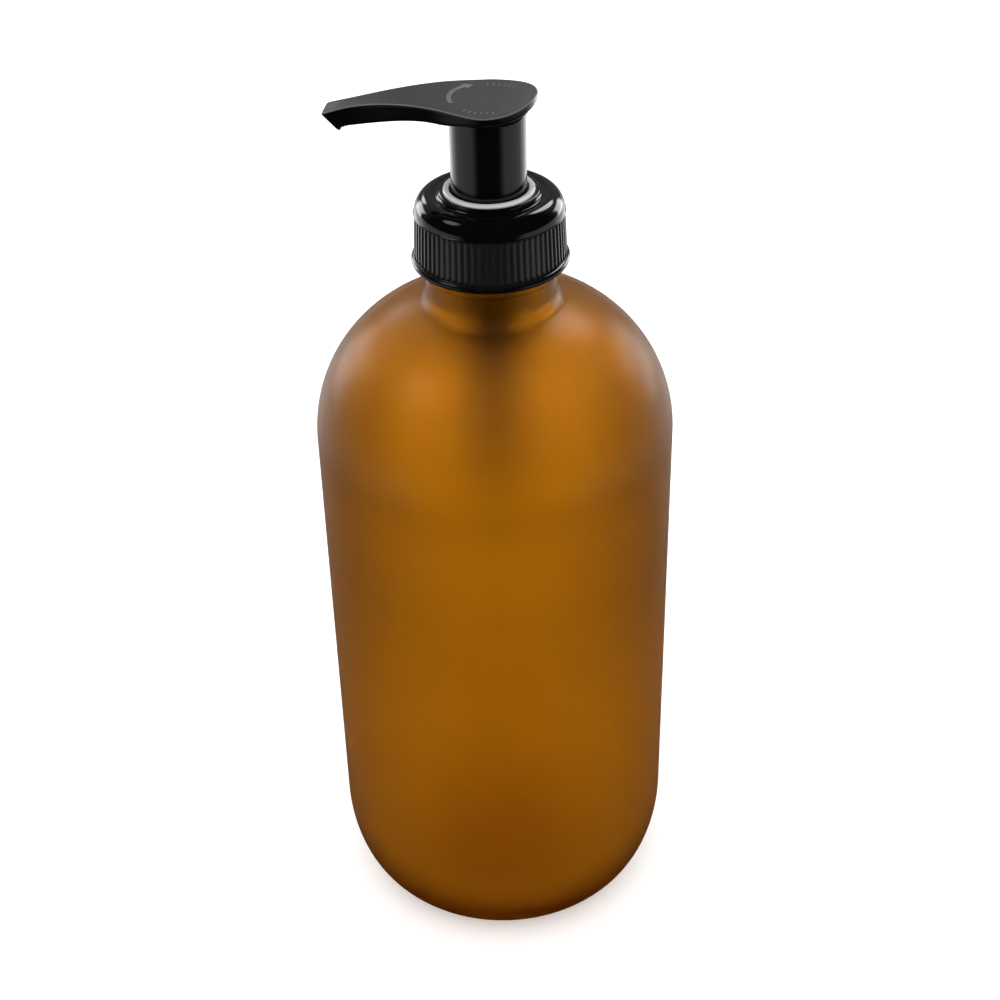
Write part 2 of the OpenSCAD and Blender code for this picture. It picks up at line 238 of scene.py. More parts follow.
def tidy(piece, sharp, merge):
    """merges points closer than merge metres and shades again"""
    edit = bmesh.new()
    edit.from_mesh(piece.data)
    bmesh.ops.remove_doubles(edit, verts=edit.verts, dist=merge)
    bmesh.ops.dissolve_degenerate(edit, edges=edit.edges, dist=merge)
    bmesh.ops.recalc_face_normals(edit, faces=edit.faces)
    edit.to_mesh(piece.data)
    edit.free()
    shade(piece.data, sharp)


# ------------------------------------------------------------------ shader nodes
class Nodes:
    """A node tree, with short calls for the nodes used in it."""

    def __init__(self, tree):
        self.tree = tree
        tree.nodes.clear()

    def fill(self, node, inputs):
        """links each named input to a socket, or sets it to a value"""
        for key, value in inputs.items():
            socket = node.inputs[key]
            if isinstance(value, bpy.types.NodeSocket):
                self.tree.links.new(value, socket)
            elif socket.type == "RGBA":
                socket.default_value = (*value, 1.0)
            else:
                socket.default_value = value

    def add(self, kind, inputs=None, **settings):
        node = self.tree.nodes.new("ShaderNode" + kind)
        for name, value in settings.items():
            setattr(node, name, value)
        self.fill(node, inputs or {})
        return node

    def coords(self):
        return self.add("TexCoord").outputs["Object"]

    def noise(self, scale, detail=3.0, roughness=0.55, stretch=None):
        vector = self.coords()
        if stretch is not None:
            vector = self.add("Mapping", {"Scale": stretch, "Vector": vector}).outputs[0]
        return self.add("TexNoise", {"Scale": scale, "Detail": detail, "Roughness": roughness,
                                     "Vector": vector}).outputs["Fac"]

    def chain(self, operation, terms):
        total = terms[0]
        for term in terms[1:]:
            total = self.add("Math", {0: total, 1: term}, operation=operation).outputs[0]
        return total

    def plus(self, *terms):
        return self.chain("ADD", terms)

    def minus(self, *terms):
        return self.chain("SUBTRACT", terms)

    def times(self, *terms):
        return self.chain("MULTIPLY", terms)

    def remap(self, value, between, to=(0.0, 1.0), smooth=True):
        """carries the range between over to the range to"""
        return self.add("MapRange", {"From Min": between[0], "From Max": between[1],
                                     "To Min": to[0], "To Max": to[1], "Value": value},
                        interpolation_type="SMOOTHSTEP" if smooth else "LINEAR").outputs["Result"]

    def mix(self, factor, first, second, mode="MIX"):
        return self.add("Mix", {0: factor, 6: first, 7: second},
                        data_type="RGBA", blend_type=mode).outputs[2]

    def split(self, vector):
        return self.add("SeparateXYZ", {0: vector}).outputs

    def bump(self, height, strength, distance):
        return self.add("Bump", {"Strength": strength, "Distance": distance,
                                 "Height": height}).outputs[0]

    def ramp(self, factor, stops):
        """colour ramp through stops of (position, colour)"""
        node = self.add("ValToRGB", {"Fac": factor})
        elements = node.color_ramp.elements
        while len(elements) < len(stops):
            elements.new(0.5)
        for element, (position, colour) in zip(elements, stops):
            element.position = position
            element.color = (*colour, 1)
        return node.outputs["Color"]


class Material(Nodes):
    """A material with one Principled surface."""

    def __init__(self, name):
        self.data = bpy.data.materials.new(name)
        self.data.use_nodes = True
        super().__init__(self.data.node_tree)
        output = self.add("OutputMaterial")
        self.surface = self.add("BsdfPrincipled")
        self.fill(output, {"Surface": self.surface.outputs[0]})

    def set(self, inputs):
        self.fill(self.surface, inputs)
        return self.data


# ------------------------------------------------------------------ materials
# red of the amber by how far the surface turns from the eye: (0 facing .. 1 edge on, red)
AMBER_BY_ANGLE = [(0.0, 0.92), (0.08, 0.79), (0.15, 0.64), (0.20, 0.54), (0.25, 0.45),
                  (0.32, 0.38), (0.435, 0.325), (0.585, 0.285), (0.75, 0.27), (1.0, 0.27)]
# brightness by height, painted light and shade in the glass's colour: (share of TONE_TOP, brightness)
PAINTED_LIGHT_BY_HEIGHT = [(0.0, 1.17), (0.30, 1.19), (0.41, 1.12), (0.52, 0.95), (0.62, 0.83),
                  (0.73, 0.835), (0.81, 0.715), (0.87, 0.68), (0.91, 0.73), (0.945, 0.86),
                  (0.98, 0.86), (1.0, 0.70)]
TONE_TOP = 0.152


def frosted_amber():
    """acid-etched outside of the amber glass: blurs what is behind it, satin in reflection"""
    glass = Material("amber_glass_frosted")
    z = glass.split(glass.coords())[2]
    fine = glass.noise(scale=5200.0, detail=2.0, roughness=0.6)
    cloud = glass.noise(scale=38.0, detail=3.0, roughness=0.5)
    facing = glass.add("LayerWeight", {"Blend": 0.5}).outputs["Facing"]
    # the slanted path through the wall is longer towards the sides, so the amber deepens there
    body = glass.ramp(facing, [(at, (v, v * 0.392, 0.0055)) for at, v in AMBER_BY_ANGLE])
    # the upper part of the bottle has its own, flatter run of colours
    upper = glass.mix(glass.remap(facing, between=(0.0, 0.30), smooth=False),
                      (0.90, 0.36, 0.0055), (0.58, 0.232, 0.0055))
    upper = glass.mix(glass.remap(facing, between=(0.28, 0.62)), upper, (0.31, 0.135, 0.012))
    colour = glass.mix(glass.remap(z, between=(0.116, 0.145), to=(0.0, 0.85)), body, upper)
    # the painted light and shade by height counts once, on outer faces only; it is halved to fit the
    # ramp and doubled after
    painted_light_shade = glass.ramp(glass.remap(z, between=(0.0, TONE_TOP), smooth=False),
                      [(at, (v * v / 2,) * 3) for at, v in PAINTED_LIGHT_BY_HEIGHT])
    backfacing = glass.add("NewGeometry").outputs["Backfacing"]
    colour = glass.mix(1.0, colour, glass.mix(backfacing, painted_light_shade, (0.5,) * 3), "MULTIPLY")
    colour = glass.mix(1.0, colour, (2.0,) * 3, "MULTIPLY")
    colour = glass.mix(glass.remap(cloud, between=(0.35, 0.7), to=(0.0, 0.10)),
                       colour, (0.36, 0.135, 0.006))
    grain = glass.times(glass.minus(fine, 0.5), 0.06)
    normal = glass.bump(fine, strength=0.2, distance=0.00003)
    return glass.set({
        "Base Color": colour,
        "IOR": 1.5,
        "Transmission Weight": 1.0,
        "Specular Tint": (0.10, 0.06, 0.02),
        "Coat Weight": glass.remap(z, between=(0.122, 0.146), to=(0.20, 0.25)),
        "Coat IOR": 1.45,
        "Coat Roughness": glass.remap(cloud, between=(0.2, 0.8), to=(0.22, 0.27)),
        "Roughness": glass.plus(glass.remap(cloud, between=(0.2, 0.8), to=(0.70, 0.76)), grain),
        "Normal": normal,
        "Coat Normal": normal})


def clear_amber(name, thin, thick):
    """fire-polished glass, clouded between two colours"""
    glass = Material(name)
    cloud = glass.remap(glass.noise(scale=60.0, detail=2.0), between=(0.3, 0.7))
    gloss = glass.noise(scale=90.0, detail=2.0)
    wave = glass.noise(scale=45.0, detail=2.0)
    return glass.set({
        "Base Color": glass.mix(cloud, thin, thick),
        "IOR": 1.5,
        "Transmission Weight": 1.0,
        "Roughness": glass.remap(gloss, between=(0.3, 0.7), to=(0.02, 0.05)),
        "Normal": glass.bump(wave, strength=0.15, distance=0.0004)})


BLACK = (0.0014, 0.0014, 0.0015)


def broad_noise(plastic):
    return plastic.noise(scale=210.0, detail=3.0, roughness=0.5)


def set_black(plastic, colour, roughness, wide):
    """sets a black plastic's colour and roughness, and adds its faint surface grain"""
    fine = plastic.noise(scale=2600.0, detail=3.0, roughness=0.6)
    height = plastic.plus(plastic.times(fine, 0.35), plastic.times(wide, 1.0))
    return plastic.set({
        "Base Color": colour,
        "Roughness": roughness,
        "IOR": 1.5,
        "Normal": plastic.bump(height, strength=0.10, distance=0.00006)})


def plain_black(name, gloss, base=BLACK):
    plastic = Material(name)
    wide = broad_noise(plastic)
    roughness = plastic.remap(wide, between=(0.3, 0.7), to=(gloss - 0.02, gloss + 0.03))
    colour = plastic.mix(plastic.remap(wide, between=(0.35, 0.65)),
                         base, tuple(v * 1.15 for v in base))
    return set_black(plastic, colour, roughness, wide)


def set_part_satin(plastic, colour, area, gloss, satin):
    """glossy black, satin where area is 1"""
    wide = broad_noise(plastic)
    roughness = plastic.plus(plastic.times(area, satin - gloss), gloss,
                             plastic.remap(wide, between=(0.3, 0.7), to=(-0.015, 0.03)))
    return set_black(plastic, colour, roughness, wide)


def closure_black():
    """black plastic with satin ribs"""
    plastic = Material("black_closure")
    z = plastic.split(plastic.coords())[2]
    above_flare = plastic.remap(z, between=((SKIRT_Z + 1.2) * MM, (SKIRT_Z + 1.7) * MM))
    below_dome = plastic.remap(z, between=((DOME_Z + 0.05) * MM, (DOME_Z - 0.15) * MM))
    ribs = plastic.times(above_flare, below_dome)
    colour = plastic.mix(ribs, BLACK, (0.0082, 0.0084, 0.0086))
    return set_part_satin(plastic, colour, ribs, gloss=0.09, satin=0.22)


def head_black():
    """black plastic with a satin top face; painted light makes the top lighter towards the back, and
    a painted highlight runs along its rounded edge
    """
    plastic = Material("black_head")
    x, _, z = plastic.split(plastic.coords())
    upward = plastic.split(plastic.add("NewGeometry").outputs["Normal"])[2]

    def at_pad():
        return plastic.remap(z, between=((PAD_Z - 4.5) * MM, (PAD_Z - 3.0) * MM))

    top = plastic.times(plastic.remap(upward, between=(0.80, 0.93)), at_pad())
    # painted highlight along the rounded edge of the top face
    painted_edge_highlight = plastic.times(plastic.remap(upward, between=(0.25, 0.45)),
                        plastic.remap(upward, between=(0.97, 0.88)), at_pad())
    # the satin top's own dark grey, with painted light making it lighter towards the back
    satin_grey_painted_light = plastic.mix(plastic.remap(x, between=(-0.012, 0.010)),
                       (0.027, 0.0273, 0.0277), (0.046, 0.0464, 0.047))
    colour = plastic.mix(painted_edge_highlight, plastic.mix(top, BLACK, satin_grey_painted_light), (0.11, 0.111, 0.113))
    return set_part_satin(plastic, colour, top, gloss=0.13, satin=0.45)


def milky_plastic(name, base, tint=(0.75, 0.77, 0.76), roughness=0.32, scatter=0.35):
    plastic = Material(name)
    wide = plastic.noise(scale=160.0, detail=3.0, roughness=0.5)
    fine = plastic.noise(scale=2400.0, detail=2.0, roughness=0.5)
    return plastic.set({
        "Base Color": plastic.mix(plastic.remap(wide, between=(0.3, 0.7)), base, tint),
        "Roughness": plastic.remap(wide, between=(0.3, 0.7),
                                   to=(roughness - 0.04, roughness + 0.06)),
        "Subsurface Weight": scatter,
        "Subsurface Radius": (1.0, 0.9, 0.8),
        "Subsurface Scale": 0.0012,
        "Normal": plastic.bump(plastic.plus(fine, wide), strength=0.08, distance=0.00006)})


def gasket_foam():
    foam = Material("gasket_foam_cells")
    cells = foam.add("TexVoronoi", {"Scale": 3200.0, "Vector": foam.coords()}).outputs["Distance"]
    return foam.set({
        "Base Color": foam.mix(cells, (0.86, 0.86, 0.82), (0.93, 0.93, 0.9)),
        "Roughness": foam.remap(cells, between=(0.0, 0.6), to=(0.75, 0.9)),
        "Normal": foam.bump(cells, strength=0.5, distance=0.0001)})


def steel(name, roughness, stretch, bump_strength):
    metal = Material(name)
    streaks = metal.noise(scale=900.0, detail=4.0, roughness=0.6, stretch=stretch)
    return metal.set({
        "Base Color": metal.mix(streaks, (0.60, 0.61, 0.62), (0.72, 0.73, 0.745)),
        "Metallic": 1.0,
        "Roughness": metal.remap(streaks, between=(0.3, 0.7),
                                 to=(roughness - 0.05, roughness + 0.08)),
        "Normal": metal.bump(streaks, strength=bump_strength, distance=0.00005)})


def studio_floor():
    """matt white, with some glow of its own for the camera only"""
    white = Material("studio_floor")
    wide = white.noise(scale=6.0, detail=3.0, roughness=0.5)
    fine = white.noise(scale=900.0, detail=2.0)
    seen = white.add("LightPath").outputs["Is Camera Ray"]
    return white.set({
        "Base Color": white.mix(wide, (0.90, 0.90, 0.90), (0.92, 0.92, 0.92)),
        "Roughness": white.remap(wide, between=(0.3, 0.7), to=(0.65, 0.75)),
        "Specular IOR Level": 0.1,
        "Normal": white.bump(fine, strength=0.02, distance=0.0001),
        "Emission Color": (1, 1, 1),
        "Emission Strength": white.times(seen, 0.28)})


FROSTED = frosted_amber()
CLEAR = clear_amber("amber_glass_inside", thin=(0.98, 0.93, 0.84), thick=(1.0, 0.96, 0.88))
FINISH = clear_amber("amber_glass_finish", thin=(0.74, 0.29, 0.008), thick=(0.80, 0.33, 0.012))
CLOSURE_BLACK = closure_black()
HEAD_BLACK = head_black()
HOUSING = plain_black("black_housing", gloss=0.3)
# the raised marks are moulded in the head's black plastic; their light grey is a painted highlight
MARKS_PAINTED_HIGHLIGHT = plain_black("moulded_marks_painted_highlight", gloss=0.35, base=(0.115, 0.117, 0.12))
NATURAL = milky_plastic("natural_pp", base=(0.60, 0.61, 0.60), tint=(0.54, 0.555, 0.55))
PISTON = milky_plastic("piston_pe", base=(0.80, 0.82, 0.84), roughness=0.4)
TUBE = milky_plastic("dip_tube_pe", base=(0.80, 0.82, 0.82), roughness=0.3, scatter=0.6)
FOAM = gasket_foam()
WIRE = steel("spring_wire", roughness=0.22, stretch=(1.0, 1.0, 9.0), bump_strength=0.12)
BALL = steel("ball_steel", roughness=0.08, stretch=(1.0, 1.0, 1.0), bump_strength=0.02)


# ------------------------------------------------------------------ glass bottle
def bottle_piece():
    sides = 384
    shoulder, wall = 31.0, 2.3                    # outer shoulder radius, wall thickness
    neck, neck_fillet = 13.2, 3.2
    bore, bore_fillet = 9.8, 4.5
    heel_r, heel_z = 10.3, 20.6                   # rounding at the foot of the body
    foot, floor_z, inner_heel = 24.0, 4.4, 26.2   # standing ring, glass over it, inner rounding
    centre = BODY_R - shoulder                    # radius at which the shoulder arcs are centred
    inner_shoulder = shoulder - wall

    def fillet_place(shoulder_r, fillet, throat):
        """height of the fillet's centre, and the angle at which it meets the shoulder"""
        across = throat + fillet - centre
        height = BODY_H + math.sqrt((shoulder_r + fillet) ** 2 - across ** 2)
        return height, math.degrees(math.atan2(height - BODY_H, across))

    def raised(i, steps):
        """0..1 rise of the base towards the axis"""
        return 0.5 + 0.5 * math.cos(math.pi * i / steps)

    neck_z, neck_angle = fillet_place(shoulder, neck_fillet, neck)
    bore_z, bore_angle = fillet_place(inner_shoulder, bore_fillet, bore)
    etched = ([(foot * i / 24, 2.6 * raised(i, 24)) for i in range(25)]
              + [(24.8, 0.0), (25.6, 0.0), (26.4, 0.0)]
              + arc(BODY_R - heel_r, heel_z, heel_r, heel_z, -90, 0, 40)
              + [(BODY_R, heel_z + (BODY_H - heel_z) * i / 24) for i in range(1, 24)]
              + arc(centre, BODY_H, shoulder, shoulder, 0, neck_angle, 64)
              + arc(neck + neck_fillet, neck_z, neck_fillet, neck_fillet,
                    180 + neck_angle, 180, 18)
              + [(neck, neck_z + 1.6)]
              + arc(neck - 0.2, 156.8, 0.62, 0.8, -70, 70, 14))       # bead round the neck
    finish = (arc(FINISH_R + 0.35, 158.35, 0.35, 0.35, -90, -180, 5)
              + [(FINISH_R, z) for z in np.arange(158.6, MOUTH_Z - 0.8, 0.16)]
              + arc(FINISH_R - 0.8, MOUTH_Z - 0.8, 0.8, 0.8, 0, 90, 8))
    inner = (arc(bore + 0.6, MOUTH_Z - 0.6, 0.6, 0.6, 90, 180, 8)
             + [(bore, z) for z in np.linspace(MOUTH_Z - 1.5, bore_z + 1.0, 10)]
             + arc(bore + bore_fillet, bore_z, bore_fillet, bore_fillet,
                   180, 180 + bore_angle, 18)
             + arc(centre, BODY_H, inner_shoulder, inner_shoulder, bore_angle, 0, 56)
             + [(BODY_R - wall, BODY_H + (heel_z - BODY_H) * i / 24) for i in range(1, 24)]
             + arc(inner_heel, heel_z, BODY_R - wall - inner_heel, 16.2, 0, -90, 32)
             + [(foot * i / 16, floor_z + 2.2 * raised(i, 16)) for i in range(15, -1, -1)])
    points = etched + finish + inner
    outside = len(etched) + len(finish)

    # points closer than 0.02 mm to the one before are left out
    kept = [0]
    for i in range(1, len(points)):
        if math.dist(points[i], points[kept[-1]]) > 0.02:
            kept.append(i)

    def shape(radii, heights, theta, index):
        place = kept[index]
        if place < outside and 158.4 < heights[0] < MOUTH_Z - 0.7:
            ridge = helix_height(heights, theta, THREAD_Z, 0.0, TURNS, 1.2, 0.4)
            radii = radii + (THREAD_R - FINISH_R) * ridge
        if place < 40 and 24.3 < radii[0] < 26.9:       # knurled standing ring
            heights = heights + 0.16 * (0.5 - 0.5 * np.cos(96 * theta))
        return radii, heights

    piece = lathe("glass_bottle", [points[i] for i in kept], sides, shape,
                  ends_on_axis=True, sharp=50)
    for material in (FROSTED, CLEAR, FINISH):
        piece.data.materials.append(material)
    # the inside wall and the finish above the bead are not etched
    finish_start = sides * sum(1 for i in kept if i < len(etched))
    inner_start = sides * sum(1 for i in kept if i < outside)
    slots = np.zeros(len(piece.data.polygons), np.int32)
    slots[finish_start:inner_start] = 2
    slots[inner_start:] = 1
    piece.data.polygons.foreach_set("material_index", slots)
    return piece


bottle = bottle_piece()
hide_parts("bottle")
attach(bottle, "glass")


# ------------------------------------------------------------------ ribbed closure
def closure_piece():
    ribs, rib_height, sides_per_rib = 72, 0.40, 12
    ribs_lo, ribs_hi = SKIRT_Z + 1.7, DOME_Z - 0.2
    wall_lo, wall_hi = 15.3 - rib_height, 14.9 - rib_height    # radii between the ribs
    hole = RING_R + 0.07
    bore, thread_crest = 13.9, 12.76
    skirt = (arc(14.45, SKIRT_Z + 0.3, 0.3, 0.3, 180, 270, 4)
             + [(15.1, SKIRT_Z)]
             + arc(FLARE_R - 0.78, SKIRT_Z + 0.8, 0.78, 0.78, -85, 78, 14)
             + arc(wall_lo + 0.45, ribs_lo - 0.05, 0.45, 0.35, 250, 180, 5))
    wall = [(wall_lo + (wall_hi - wall_lo) * t, ribs_lo + (ribs_hi - ribs_lo) * t)
            for t in np.linspace(0.02, 1, 26)]
    # a lip over the ribs, the dome, a groove and the raised edge of the hole
    dome = ([(14.98, DOME_Z - 0.13), (15.05, DOME_Z - 0.08), (15.06, DOME_Z),
             (15.02, DOME_Z + 0.08)]
            + arc(11.9, DOME_Z, 3.0, 3.75, 3, 90, 26)
            + [(11.55, DOME_Z + 3.735), (11.25, DOME_Z + 3.66)]
            + arc(10.85, DOME_Z + 4.3, 0.9, 0.9, -112, -176, 9)
            + arc(9.66, DOME_Z + 4.2, 0.28, 0.28, 5, 90, 6)
            + arc(hole + 0.2, DOME_Z + 4.28, 0.2, 0.2, 90, 180, 4))
    ceiling = FLANGE_TOP + 0.05
    inside = ([(hole, ceiling), (11.2, ceiling), (13.25, ceiling),
               (13.25, 169.6), (13.25, 168.7), (bore, 168.0)]
              + [(bore, z) for z in np.arange(167.8, SKIRT_Z + 0.7, -0.16)]
              + [(13.95, SKIRT_Z + 0.6)])
    wall_start = len(skirt)
    wall_end = wall_start + len(wall)
    inside_start = wall_end + len(dome)

    def shape(radii, heights, theta, index):
        if wall_start <= index < wall_end:
            tooth = smoothstep(-0.7, 0.75, np.cos(ribs * theta))
            ends = (smoothstep(ribs_lo, ribs_lo + 0.45, heights)
                    * smoothstep(ribs_hi + 0.02, ribs_hi - 0.2, heights))
            radii = radii + rib_height * tooth * ends
        if index >= inside_start and radii[0] > 13.8:
            ridge = helix_height(heights, theta, THREAD_Z - PITCH / 2, 25.0, 1.02, 1.1, 0.35)
            radii = radii - (bore - thread_crest) * ridge
        return radii, heights

    piece = lathe("screw_closure", skirt + wall + dome + inside, ribs * sides_per_rib, shape,
                  sharp=42)
    piece.data.materials.append(CLOSURE_BLACK)
    return piece


closure = closure_piece()
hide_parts("closure")
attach(closure, "cap")


# ------------------------------------------------------------------ collar with the light ring
def collar_piece():
    barrel, ring_bore, guide, recess = 8.47, 7.8, 5.3, 6.03    # radii
    profile = (densify([(4.1, COLLAR_LO + 0.2), (4.3, COLLAR_LO), (8.3, COLLAR_LO),
                        (barrel, COLLAR_LO + 0.17), (barrel, 153.0)], 1.0)
               + arc(barrel, 153.6, 0.15, 0.6, -80, 80, 8)
               + densify([(barrel, 154.4), (barrel, FLANGE_TOP), (RING_R - 0.1, FLANGE_TOP),
                          (RING_R, FLANGE_TOP + 0.1), (RING_R, COLLAR_TOP - 0.45)], 1.0)
               + arc(RING_R - 0.42, COLLAR_TOP - 0.42, 0.42, 0.42, 8, 90, 9)
               + arc(ring_bore + 0.3, COLLAR_TOP - 0.3, 0.3, 0.3, 95, 180, 7)
               + densify([(ring_bore, COLLAR_TOP - 0.5), (ring_bore, 151.9)], 1.2)
               + arc(7.5, 151.9, 0.3, 0.3, 0, -90, 4)
               + arc(5.6, 151.9, 0.3, 0.3, 270, 180, 4)
               + [(guide, z) for z in (152.5, 155, 158, 161, 164, 165.8, 166.0, 166.15,
                                       167.3, 168.5, 169.1)]
               + [(5.1, 169.35), (4.95, 169.4), (4.4, 169.4), (4.1, 169.1)])

    def shape(radii, heights, theta, _):
        # the top of the inner tube is wider round both ends of the X axis
        if 166.05 < heights[0] < 169.39 and 5.05 < radii[0] < 5.35:
            radii = np.where(degrees_off_x(theta) < 30.0, recess, radii)
        return radii, heights

    piece = lathe("locking_collar_ring", profile, 240, shape, sharp=40)
    piece.data.materials.append(NATURAL)
    return piece


collar = collar_piece()
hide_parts("locking_collar")
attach(collar, "pump_core")


# ------------------------------------------------------------------ spring
def spring_piece():
    """coil with one closed turn at either end"""
    coils, wire, coil_r = 9, 1.0, 4.35
    steps, sides = 64, 16
    length = SPRING_HI - SPRING_LO - wire
    closed = wire * 1.02                          # rise of a closed turn
    opened = (length - 2 * closed) / (coils - 2)
    rings = coils * steps + 1
    verts = []
    for i in range(rings):
        turn = i / steps
        if turn < 1:
            rise = turn * closed
        elif turn > coils - 1:
            rise = length - (coils - turn) * closed
        else:
            rise = closed + (turn - 1) * opened
        angle = 2 * math.pi * turn
        for k in range(sides):
            around = 2 * math.pi * k / sides
            radius = coil_r + wire / 2 * math.cos(around)
            verts.append((radius * math.cos(angle) * MM, radius * math.sin(angle) * MM,
                          (SPRING_LO + wire / 2 + rise + wire / 2 * math.sin(around)) * MM))
    faces = tube_sides(rings, sides) + tube_ends(rings, sides)
    piece = new_object("spring_coil", verts, faces, 50)
    piece.data.materials.append(WIRE)
    return piece


spring = spring_piece()
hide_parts("return_spring")
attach(spring, "spring_stage")
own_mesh(spring)


# ------------------------------------------------------------------ pump head
# "along" is the distance from the axis towards the spout's tip, so x = -along
def head_top(along):
    along = np.asarray(along, float)
    rise = PAD_Z + 0.5 * smoothstep(0, 10, along)
    drop = PAD_Z + 0.5 - 0.0072 * (along - 10) ** 2
    return np.where(along < 0, PAD_Z + BACK_RISE * along * along,
                    np.where(along < 10, rise, drop))


def head_depth(along):
    return (1.75 + 1.5 * smoothstep(0, 9, along) + 0.9 * smoothstep(9, 24, along)
            - 0.75 * smoothstep(24.5, REACH, along))


def dish(along, y):
    """depth of the pad's shallow hollow"""
    share = math.hypot(along / (PAD_BACK - 0.4), y / (PAD_W - 0.4))
    return DISH * max(0.0, 1 - share * share) ** 1.4


def pad_surface(along, y):
    """height of the finished top face of the head"""
    half_width = max(0.5, float(np.interp(along, [0, 9, 18, 27], [PAD_W, 8.4, 4.4, 2.7])))
    crown = CROWN * float(smoothstep(9, 20, along)) * (1 - min(1, y / half_width) ** 2)
    return float(head_top(along)) - dish(along, y) + crown


def raised_marks():
    """an arrow along an arc, two rows of ticks and a small round stub, a little proud of the pad"""
    mark_r = 7.2

    def polar(radius, degrees):
        angle = math.radians(degrees)
        return radius * math.cos(angle), radius * math.sin(angle)

    def strip(stations):
        """both edges of a band along the arc, from (degrees, half width) stations"""
        return ([polar(mark_r + half, a) for a, half in stations],
                [polar(mark_r - half, a) for a, half in stations])

    shapes = [strip([(a, 0.45) for a in range(-30, 47, 4)]),
              strip([(46, 1.1), (50, 0.85), (54, 0.6), (58, 0.32), (61, 0.06)])]
    for first, step in ((84, 9), (-62, -9)):
        for k in range(6):
            middle = first + k * step
            shapes.append(strip([(middle - 1.1, 0.6), (middle + 1.1, 0.6)]))
    stub = arc(25.4, 0.9, 0.32, 0.32, 0, 180, 6)
    shapes.append((stub, [(along, 1.8 - y) for along, y in stub]))

    verts, faces = [], []
    for outer, inner in shapes:
        count, top_outer = len(outer), len(verts)
        for lift in (0.10, -0.25):
            for edge in (outer, inner):
                verts += [(-along * MM, y * MM, (pad_surface(along, y) + lift) * MM)
                          for along, y in edge]
        top_inner, low_outer, low_inner = (top_outer + count * k for k in (1, 2, 3))
        for k in range(count - 1):
            a, b, c, d = top_outer + k, top_inner + k, low_outer + k, low_inner + k
            faces += [(a, a + 1, b + 1, b), (c, d, d + 1, c + 1),
                      (a, c, c + 1, a + 1), (b, b + 1, d + 1, d)]
        end = count - 1
        faces += [(top_outer, top_inner, low_inner, low_outer),
                  (top_outer + end, low_outer + end, low_inner + end, top_inner + end)]
    return new_object("marks_tmp", verts, faces, 30)


def half_outline():
    """(along, half width) from the back of the pad round one side to the spout's tip"""
    points = [(-PAD_BACK * math.cos(a), PAD_W * math.sin(a))
              for a in np.linspace(0, math.pi / 2, 26)]
    points += [(bezier((0, 3, 18, 27), t), bezier((PAD_W, PAD_W, 2.6, 2.6), t))
               for t in np.linspace(0, 1, 64)[1:]]
    points += [(along, 2.6 + 0.3 * float(smoothstep(27, REACH, along)))
               for along in np.linspace(27, REACH - 0.5, 9)[1:]]
    return points + arc(REACH - 0.5, 2.4, 0.5, 0.5, 80, 0, 5)


def pad_piece():
    """pad and spout: rings of the outline stacked downwards, closed by a grid above and below"""
    columns = 14
    half = half_outline()
    tip_row = len(half) - 1
    tip_width = half[-1][1]
    tip = [(REACH, tip_width * (1 - 2 * k / columns)) for k in range(1, columns)]
    line = np.array(half + tip + [(along, -width) for along, width in half[:0:-1]])
    along, across = line[:, 0], line[:, 1]
    count = len(line)
    run_along = np.roll(along, -1) - np.roll(along, 1)
    run_across = np.roll(across, -1) - np.roll(across, 1)
    run = np.hypot(run_along, run_across)
    out_along, out_across = -run_across / run, run_along / run     # points outward
    depth, top = head_depth(along), head_top(along)
    slant = 2.6 * smoothstep(REACH - 7, REACH, along)
    taper = 0.2 + 0.35 * smoothstep(3, 12, along)

    def rounding(radius, degrees):
        angle = math.radians(degrees)
        return radius * (1 - math.cos(angle)), radius * (1 - math.sin(angle))

    top_edge, low_edge = 0.36, 0.45               # radii of the rounded edges
    levels = [rounding(top_edge, a) for a in np.linspace(0, 90, 8)]      # (down, inset)
    levels += [(top_edge + (depth - top_edge - low_edge) * t, 0.0)
               for t in np.linspace(0, 1, 8)[1:-1]]
    for a in np.linspace(90, 0, 8):
        down, inset = rounding(low_edge, a)
        levels.append((depth - down, inset))
    verts = []
    for down, inset in levels:
        share = down / depth
        offset = inset + taper * share
        ring = zip(along - slant * share - out_along * offset, across - out_across * offset,
                   top - down)
        verts += [(-a * MM, y * MM, z * MM) for a, y, z in ring]
    faces = tube_sides(len(levels), count)

    for start, is_top in ((0, True), ((len(levels) - 1) * count, False)):
        grid = [[start] * (columns + 1)]
        for i in range(1, tip_row):
            left, right = start + i, start + count - i
            from_point, to_point = np.array(verts[left]), np.array(verts[right])
            row = [left]
            for k in range(1, columns):
                t = k / columns
                point = from_point + (to_point - from_point) * t
                if is_top:
                    place, side = -point[0] / MM, 1 - 2 * t
                    point[2] -= dish(place, side * abs(from_point[1]) / MM) * MM
                    end = 1 - float(smoothstep(REACH - 4, REACH - 0.6, place))
                    crown = CROWN * float(smoothstep(9, 20, place)) * end
                    point[2] += crown * (1 - side * side) * MM
                row.append(len(verts))
                verts.append(tuple(point))
            grid.append(row + [right])
        grid.append([start + tip_row + k for k in range(columns + 1)])
        for row, following in zip(grid, grid[1:]):
            for k in range(columns):
                corners = (row[k], following[k], following[k + 1], row[k + 1])
                faces.append(tuple(dict.fromkeys(corners)))     # a triangle at the back point
    return new_object("pump_head", verts, faces, 30)


